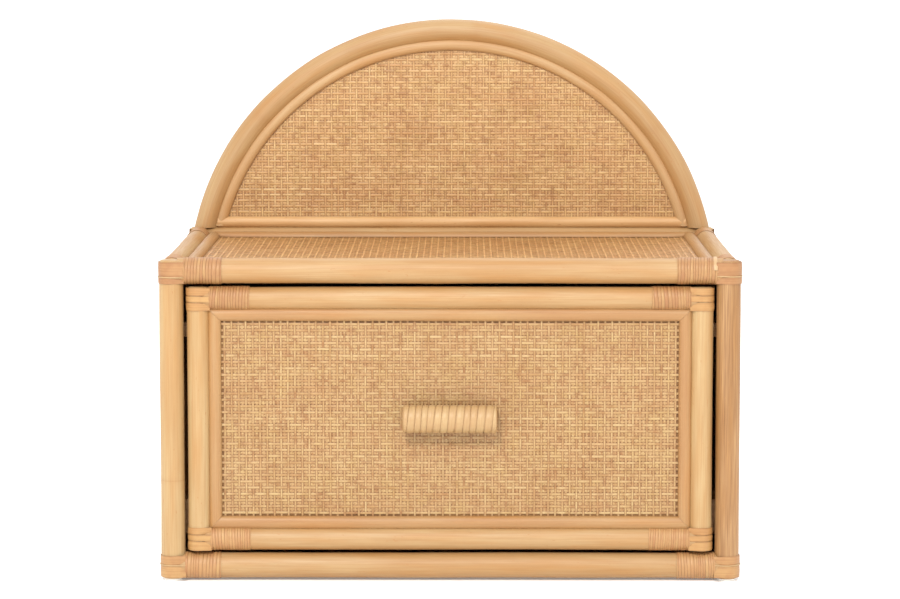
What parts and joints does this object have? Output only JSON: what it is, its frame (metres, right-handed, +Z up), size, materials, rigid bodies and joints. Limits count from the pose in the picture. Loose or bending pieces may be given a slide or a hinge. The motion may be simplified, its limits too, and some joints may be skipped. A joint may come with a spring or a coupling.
{
  "type": "nightstand with drawer",
  "caption": "Rattan nightstand with a pole frame, woven cane panels, a recessed top, an arched back and a drawer that slides out on wooden runners.",
  "frame": {"origin": "on the floor, under the middle of the whole part's box, handle included", "axes": "+Z up; -Y out of the drawer's front; +X to the right of somebody who faces the drawer"},
  "size_m": [0.502, 0.3666, 0.4765],
  "materials": {
    "rattan_pole": "satin",
    "cane_bead": "satin",
    "cane_peel": "satin",
    "woven_cane": "matte",
    "plywood": "matte",
    "drawer_wood": "matte",
    "runner_wood": "matte",
    "screw_steel": "satin",
    "glide_nylon": "matte"
  },
  "bodies": {
    "cabinet": {"arch_back_beads": "cane_bead", "arch_base_bead": "cane_bead", "arch_board": "plywood", "arch_dowels": "runner_wood", "arch_inner_bead": "cane_bead", "arch_pole": "rattan_pole", "arch_webbing_back": "woven_cane", "arch_webbing_front": "woven_cane", "back_beads": "cane_bead", "back_board": "plywood", "back_webbing": "woven_cane", "base_board": "plywood", "bottom_corner_bindings": "cane_peel", "bottom_rail_back": "rattan_pole", "bottom_rail_front": "rattan_pole", "bottom_rail_left": "rattan_pole", "bottom_rail_right": "rattan_pole", "drawer_kickers": "runner_wood", "drawer_stops": "runner_wood", "frame_screws": "screw_steel", "glides": "glide_nylon", "post_back_left": "rattan_pole", "post_back_right": "rattan_pole", "post_front_left": "rattan_pole", "post_front_right": "rattan_pole", "runner_left": "runner_wood", "runner_right": "runner_wood", "runner_screws": "screw_steel", "side_beads_left": "cane_bead", "side_beads_right": "cane_bead", "side_board_left": "plywood", "side_board_right": "plywood", "side_webbing_left": "woven_cane", "side_webbing_right": "woven_cane", "top_beads": "cane_bead", "top_board": "plywood", "top_corner_bindings": "cane_peel", "top_rail_back": "rattan_pole", "top_rail_front": "rattan_pole", "top_rail_left": "rattan_pole", "top_rail_right": "rattan_pole", "top_webbing": "woven_cane"},
    "drawer": {"drawer_rail_top": "rattan_pole", "drawer_rail_bottom": "rattan_pole", "drawer_stile_left": "rattan_pole", "drawer_stile_right": "rattan_pole", "drawer_corner_bindings": "cane_peel", "drawer_front_board": "plywood", "drawer_webbing": "woven_cane", "drawer_beads": "cane_bead", "drawer_side_left": "drawer_wood", "drawer_side_right": "drawer_wood", "drawer_box_front": "drawer_wood", "drawer_back": "drawer_wood", "drawer_bottom": "plywood", "drawer_front_screws": "screw_steel", "handle_bar": "rattan_pole", "handle_binding": "cane_peel", "handle_screws": "screw_steel"}
  },
  "joints": [
    {"name": "drawer_slide", "type": "slide", "parent": "cabinet", "child": "drawer", "axis": [0, -1, 0], "range_m": [0, 0.24]}
  ]
}
